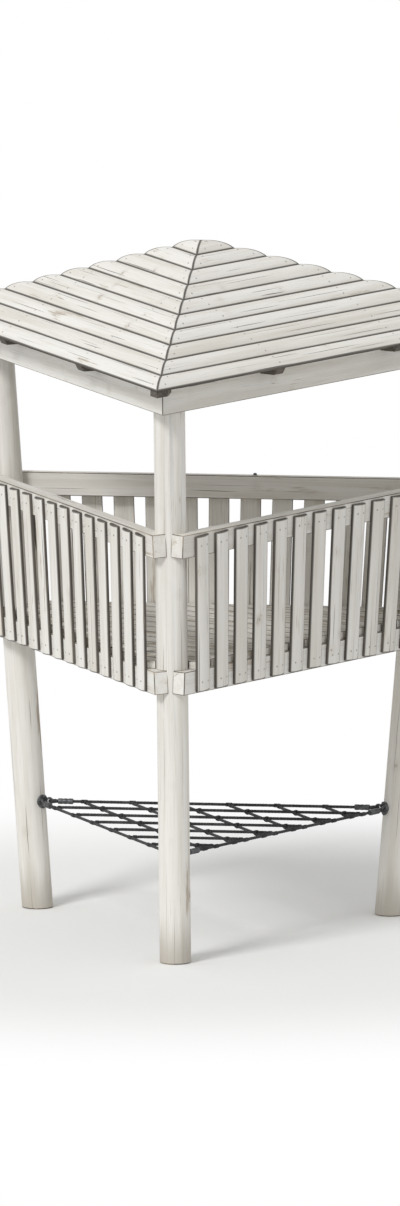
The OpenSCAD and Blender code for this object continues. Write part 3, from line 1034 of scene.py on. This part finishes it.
def mesh_rows(side):
    """Both ends of each mesh rope along one side, where it meets the edge ropes' lines."""
    rows = []
    for i in range(1, int(net_side / NET_MESH) + 1):
        y = net_inset - i * NET_MESH * cos_30
        half = (net_corner + y) / tan_60
        if half > NET_MESH / 4:
            rows.append([on_side(side) @ Vector((x, y, NET_Z)) for x in (-half, half)])
    return rows


def add_black_piece(name, mesh, tree, **changed):
    """Rope along a mesh's lines, or cord round its points."""
    made = run_tree(name, mesh, tree, finish=black_rope, **changed)
    made.shade_smooth()
    add_piece(name, made, "net_rope", "rope_net")


black_rope = rope_finish()
ropes = laid_rope_tree()
edge_lines = [[on_side(side) @ place for place in edge_line()] for side in SIDES]
add_black_piece("net_edge_ropes", line_mesh("edges", edge_lines), ropes)
lifts = {"back": ROPE_D / 4, "left": -ROPE_D / 4}
rows = {side: mesh_rows(side) for side in lifts}
for side, lift in lifts.items():
    lines = []
    for start, end in rows[side]:
        dip = (end - start).normalized() * MESH_DIP
        lines.append([start, start + dip + UP * lift, end - dip + UP * lift, end])
    add_black_piece("net_mesh_ropes_" + side, line_mesh("mesh", lines), ropes)

# Lashings
# Thin black cord: tight turns on both ropes where a mesh rope is tucked into an edge rope,
# and crossed turns where two mesh ropes cross.
CORD_D = 0.0032
END_TURNS = 6.0
EDGE_TURNS = 10.0
CROSSING_TURNS = 4.0
TURN_STEPS = 14
TIGHTNESS = 0.7


def whipping_tree():
    """A coil of cord round every point, by the point's own facing and girth."""
    tree, inputs, given = new_tree("whipping", {
        "Cord Diameter": CORD_D, "Turns": END_TURNS, "Turn Steps": TURN_STEPS,
        "Finish": "Material"})
    length = maths("MULTIPLY", given["Turns"], given["Cord Diameter"])
    coil = geometry("CurveSpiral", {"Resolution": given["Turn Steps"], "Rotations": given["Turns"],
                                    "Start Radius": 1.0, "End Radius": 1.0, "Height": length})
    down = point(z=maths("MULTIPLY", length, -0.5))
    coil = geometry("Transform", {"Geometry": coil, "Translation": down})
    coils = geometry("InstanceOnPoints", {"Points": given["Geometry"], "Instance": coil,
                                          "Rotation": kept(tree, "facing"),
                                          "Scale": kept(tree, "girth")})
    coils = geometry("RealizeInstances", {"Geometry": coils})
    along = add("GeometryNodeSplineParameter", tree=tree).outputs["Length"]
    coils = keep(coils, "lay", point(along))
    cords(tree, coils, maths("MULTIPLY", given["Cord Diameter"], 0.5), given["Finish"])
    return tree, inputs


def axes_at(place, x_axis, y_axis):
    """A place with its own axes."""
    axes = Matrix((x_axis, y_axis, x_axis.cross(y_axis))).transposed()
    return Matrix.Translation(place) @ axes.to_4x4()


def point_mesh(name, places, girths=()):
    """A point for each place, which keeps its turn and, where it is given, its girth."""
    mesh = bpy.data.meshes.new(name)
    mesh.from_pydata([place.translation for place in places], [], [])
    facing = mesh.attributes.new("facing", "FLOAT_VECTOR", "POINT")
    for i, place in enumerate(places):
        facing.data[i].vector = place.to_euler()
    if girths:
        girth = mesh.attributes.new("girth", "FLOAT_VECTOR", "POINT")
        for i, (width, height) in enumerate(girths):
            girth.data[i].vector = (width, height, 1)
    return mesh


def crossing(first, second):
    """Where two ropes cross on plan, or None."""
    a, b = first[1] - first[0], second[1] - second[0]
    gap = second[0] - first[0]
    across = a.x * b.y - a.y * b.x
    along_first = (gap.x * b.y - gap.y * b.x) / across
    along_second = (gap.x * a.y - gap.y * a.x) / across
    if 0 < along_first < 1 and 0 < along_second < 1:
        return first[0] + a * along_first
    return None


whippings = whipping_tree()
rope_r, cord_r = ROPE_D / 2, CORD_D / 2
snug = rope_r + cord_r * TIGHTNESS
on_ends, on_edges = [], []
for side, lift in lifts.items():
    for start, end in rows[side]:
        way = (end - start).normalized()
        for last, inward, turn in ((start, way, 120), (end, -way, -120)):
            edge = Matrix.Rotation(math.radians(turn), 3, "Z") @ inward
            on_edges.append(axes_at(last, edge.cross(UP), UP))
            reach = ROPE_D + END_TURNS * cord_r
            middle = last + inward * reach + UP * lift * reach / MESH_DIP
            on_ends.append(axes_at(middle, inward.cross(UP), UP))
for kind, places, turns in (("end", on_ends, END_TURNS), ("edge", on_edges, EDGE_TURNS)):
    snug_points = point_mesh(kind, places, [(snug, snug)] * len(places))
    add_black_piece("net_" + kind + "_whippings", snug_points, whippings, turns=turns)
places, girths = [], []
for first in rows["back"]:
    for second in rows["left"]:
        middle = crossing(first, second)
        if not middle:
            continue
        a, b = (first[1] - first[0]).normalized(), (second[1] - second[0]).normalized()
        for bisector, slant in ((a + b, a.dot(b)), (a - b, -a.dot(b))):
            places.append(axes_at(middle, bisector.normalized(), UP))
            reach = rope_r / math.sqrt((1 - slant) / 2)
            girths.append((reach + cord_r, rope_r + lifts["back"] + cord_r))
add_black_piece("net_crossings", point_mesh("crossings", places, girths), whippings,
                turns=CROSSING_TURNS)

# Anchors and sleeves
# Dark galvanised steel: saddled plates with two forged eyes each, a pair of dome bolts that
# hold each plate to its post, and pressed sleeves that close the eyes of the edge ropes.
STEEL = ((0.055, 0.057, 0.060, 1), (0.15, 0.153, 0.158, 1))
STEEL_METAL = 0.85
SPANGLE_SCALE = 260.0
SPANGLE = 0.4
STAINS = {"Scale": 38.0, "Detail": 5.0}
# A stain's low and high value, and what they come to: its share of pale, and its roughness.
STAINED = (0.35, 0.7, 0.0, 0.8)
STEEL_ROUGHNESS = (0.3, 0.7, 0.38, 0.62)
STAIN_STRENGTH = 0.25
STAIN_DEPTH = 0.0008
SLEEVE_SIDES = 28
SLEEVE_SEED = 1
# Outlines: how far a sleeve's end and its crimps lie in from its surface, and along it.
SLEEVE_END = ((0.0045, 0.0), (0.0015, 0.0012), (0.0, 0.005))
CRIMP = ((0.0, -0.006), (0.0012, -0.003), (0.0012, 0.003), (0.0, 0.006))
CRIMPS_AT = (0.028, 0.052)
DOME_BOLT = ((0.0110, -0.0010), (0.0110, 0.0014), (0.0104, 0.0018), (0.0080, 0.0018),
             (0.0078, 0.0030), (0.0066, 0.0052), (0.0044, 0.0066), (0.0018, 0.0072))
DOME_SIDES = 16
DOME_SEED = 2
PLATE_BOLT_OUT = 0.025


def steel_finish(name, colours=STEEL):
    """Zinc grown dull in the weather: spangle, and stains that roughen it."""
    material, tree = empty_material(name)
    place = own_place(tree)
    spangle = add("ShaderNodeTexVoronoi", {"Vector": place, "Scale": SPANGLE_SCALE})
    stain = add("ShaderNodeTexNoise", {"Vector": place, **STAINS}).outputs["Fac"]
    share = maths("MULTIPLY_ADD", spangle.outputs["Distance"], SPANGLE, fade(stain, *STAINED))
    surface(mix(share, *colours), fade(stain, *STEEL_ROUGHNESS), stain,
            STAIN_STRENGTH, STAIN_DEPTH, metal=STEEL_METAL)
    return material


def turned_solid(outline, sides):
    """A solid turned round Z, from points (radius, height) between its two end faces."""
    bm = bmesh.new()
    turns = [heading(360 * i / sides) for i in range(sides)]
    loops = [[bm.verts.new(turn * radius + UP * height) for turn in turns]
             for radius, height in outline]
    for low, high in zip(loops, loops[1:]):
        for i in range(sides):
            j = (i + 1) % sides
            bm.faces.new((low[i], low[j], high[j], high[i]))
    bm.faces.new(reversed(loops[0]))
    bm.faces.new(loops[-1])
    return finish_mesh(bm, "turned")


def fitting_tree():
    """One fitting on every point, by the point's own facing and turned at random."""
    tree, inputs, given = new_tree("fittings", {
        "Fitting": "Object", "Seed": 1, "Finish": "Material"})
    placed = copies(given["Fitting"], given["Geometry"], Rotation=kept(tree, "facing"))
    spin = point(z=by_chance(given["Seed"], 0.0, 2 * math.pi))
    placed = geometry("RotateInstances", {"Instances": placed, "Rotation": spin})
    end_tree(tree, placed, given["Finish"])
    return tree, inputs


def fitted(name, outline, sides, places, seed, finish):
    """A mesh of one turned fitting at every place."""
    pattern = new_object(name + "_pattern", turned_solid(outline, sides))
    made = run_tree(name, point_mesh("places", places), fittings, fitting=pattern, seed=seed,
                    finish=finish)
    bpy.data.objects.remove(pattern)
    return made


def add_fittings(name, *what):
    """A piece of the fittings that fitted makes."""
    add_piece(name, fitted(name, *what), "anchor_steel")


def facing_along(place, out):
    """A place whose Z axis points out."""
    return Matrix.Translation(place) @ out.to_track_quat("Z", "Y").to_matrix().to_4x4()


dark_steel = steel_finish("dark_galvanised_steel")
for corner in CORNERS:
    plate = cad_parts["net_anchor_" + corner].data
    plate.materials.clear()
    plate.materials.append(dark_steel)
fittings = fitting_tree()
sleeve_outline = [(SLEEVE_D / 2 - depth, at) for depth, at in SLEEVE_END]
for middle in CRIMPS_AT:
    sleeve_outline += [(SLEEVE_D / 2 - depth, middle + at) for depth, at in CRIMP]
sleeve_outline += [(SLEEVE_D / 2 - depth, SLEEVE_LENGTH - at) for depth, at in reversed(SLEEVE_END)]
places = []
for side in SIDES:
    for end in (1, -1):
        mouth = on_side(side) @ Vector((end * (eye_x - ROPE_EYE_R), net_inset, NET_Z))
        back = on_side(side).to_3x3() @ Vector((-end, 0, 0))
        places.append(facing_along(mouth, back))
add_fittings("net_sleeves", sleeve_outline, SLEEVE_SIDES, places, SLEEVE_SEED, dark_steel)
plate_face = net_corner - (post_r - NET_CORNER_INSET) - PLATE_T
places = [facing_along(TOWER_AXIS + heading(degrees) * plate_face + UP * (NET_Z + height),
                       -heading(degrees))
          for degrees in CORNERS.values() for height in (-PLATE_BOLT_OUT, PLATE_BOLT_OUT)]
add_fittings("anchor_bolts", DOME_BOLT, DOME_SIDES, places, DOME_SEED, dark_steel)

# Back rail's bolt
# The one bolt that the picture shows: a steel cap nut on a washer, on top of the back rail
# and a little to the right of its middle.
RAIL_BOLT_X = 0.191
CAP_NUT = ((0.0125, -0.0010), (0.0125, 0.0012), (0.0120, 0.0017), (0.0096, 0.0018),
           (0.0096, 0.0062), (0.0090, 0.0086), (0.0072, 0.0106), (0.0045, 0.0119),
           (0.0018, 0.0124))
NUT_SIDES = 18
NUT_SEED = 3
rail_top = leaning_side("back") @ Vector((RAIL_BOLT_X, rail_in + RAIL_T / 2,
                                          top_rail_h + RAIL_H / 2))
rail_up = (leaning_side("back").to_3x3() @ UP).normalized()
add_fittings("back_rail_bolt", CAP_NUT, NUT_SIDES, [facing_along(rail_top, rail_up)], NUT_SEED,
             dark_steel)

# Screws
# Flat-headed steel screws with a round drive, two abreast wherever a picket crosses a rail, a
# roof board crosses a rafter, and a deck plank crosses a joist or lies on a rail.
SCREW = ((0.0044, -0.0008), (0.0046, 0.0003), (0.0041, 0.0008), (0.0022, 0.0008),
         (0.0019, -0.0002))
SCREW_SIDES = 12
SCREW_STEEL = ((0.20, 0.195, 0.185, 1), (0.42, 0.41, 0.39, 1))
PICKET_SCREW_OUT = 0.024
ROOF_SCREW_OUT = 0.025
DECK_SCREW_OUT = 0.034
HIP_SCREW_IN = 0.022
DECK_PITCH = 0.1316
DECK_LAST_BOARD = 8
JOISTS = 2
CLEAR_OF_POST = 0.030
PICKET_SCREW_SEED = 5
ROOF_SCREW_SEED = 20
DECK_SCREW_SEED = 30


def on_crown(width, along, across):
    """A screw's place on a half-round board along X, with Z out of its face."""
    face_r = crown_radius(width)
    tilt = math.asin(across / face_r)
    depth = BOARD_T - face_r * (1 - math.cos(tilt))
    return Matrix.Translation((along, across, depth)) @ Matrix.Rotation(-tilt, 4, "X")


def roof_screw_places(side):
    """At both hips and, where the board reaches them, at both common rafters."""
    slope = (on_side(side) @ Matrix.Translation((0, EAVE_REACH, EAVE_Z))
             @ Matrix.Rotation(-ROOF_PITCH, 4, "X"))
    places = []
    for course in range(ROOF_COURSES):
        down = ROOF_BOARD_W / 2 + course * (ROOF_BOARD_W + ROOF_JOINT)
        board = slope @ Matrix.Translation((0, -down, 0))
        for across in (-ROOF_SCREW_OUT, ROOF_SCREW_OUT):
            out = EAVE_REACH - (down - across) * math.cos(ROOF_PITCH)
            hip_x = out * tan_60 - 2 * HIP_SCREW_IN
            reached = [hip_x, RAFTER_X] if RAFTER_X < hip_x - ROOF_SCREW_OUT else [hip_x]
            for x in reached + [-x for x in reached]:
                places.append(board @ on_crown(ROOF_BOARD_W, x, across))
    return places


def deck_screw_places():
    """Over the joists and the three bottom rails, clear of the posts."""
    low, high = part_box("deck_boards")
    post_reach = foot_reach + low.z * math.tan(POST_LEAN)
    rail_middle = post_reach / 2 + (rail_in + RAIL_T / 2) / math.cos(side_lean)
    joist_step = post_reach / 2 + rail_in / math.cos(side_lean)
    joists = [joist_step * (1 - i * 3 / (JOISTS + 1)) for i in range(1, JOISTS + 1)]
    posts = [heading(degrees) * post_reach for degrees in CORNERS.values()]
    places = []
    for board in range(-DECK_LAST_BOARD, DECK_LAST_BOARD + 1):
        for across in (-DECK_SCREW_OUT, DECK_SCREW_OUT):
            x = board * DECK_PITCH + across
            far_end = tan_60 * abs(x) - 2 * rail_middle
            if far_end >= rail_middle - RAIL_T:
                continue
            for y in [rail_middle, far_end] + [y for y in joists if y > far_end + RAIL_T]:
                clear = min((Vector((x, y, 0)) - post).length for post in posts)
                if clear > post_r + CLEAR_OF_POST:
                    places.append(on_side("right") @ Matrix.Translation((x, y, high.z)))
    return places


screw_steel = steel_finish("screw_steel", SCREW_STEEL)
places = [upright @ on_crown(PICKET_W, along, across)
          for along in (-RAIL_SPACING / 2, RAIL_SPACING / 2)
          for across in (-PICKET_SCREW_OUT, PICKET_SCREW_OUT)]
four_screws = new_object("four_screws_pattern", fitted(
    "four_screws", SCREW, SCREW_SIDES, places, PICKET_SCREW_SEED, screw_steel))
for number, side in enumerate(SIDES):
    name = "picket_screws_" + side
    add_piece(name, picket_row(name, side, number, four_screws, screw_steel, screw_steel),
              "anchor_steel")
    add_fittings("roof_screws_" + side, SCREW, SCREW_SIDES, roof_screw_places(side),
                 ROOF_SCREW_SEED + number, screw_steel)
add_fittings("deck_screws", SCREW, SCREW_SIDES, deck_screw_places(), DECK_SCREW_SEED, screw_steel)
bpy.data.objects.remove(four_screws)
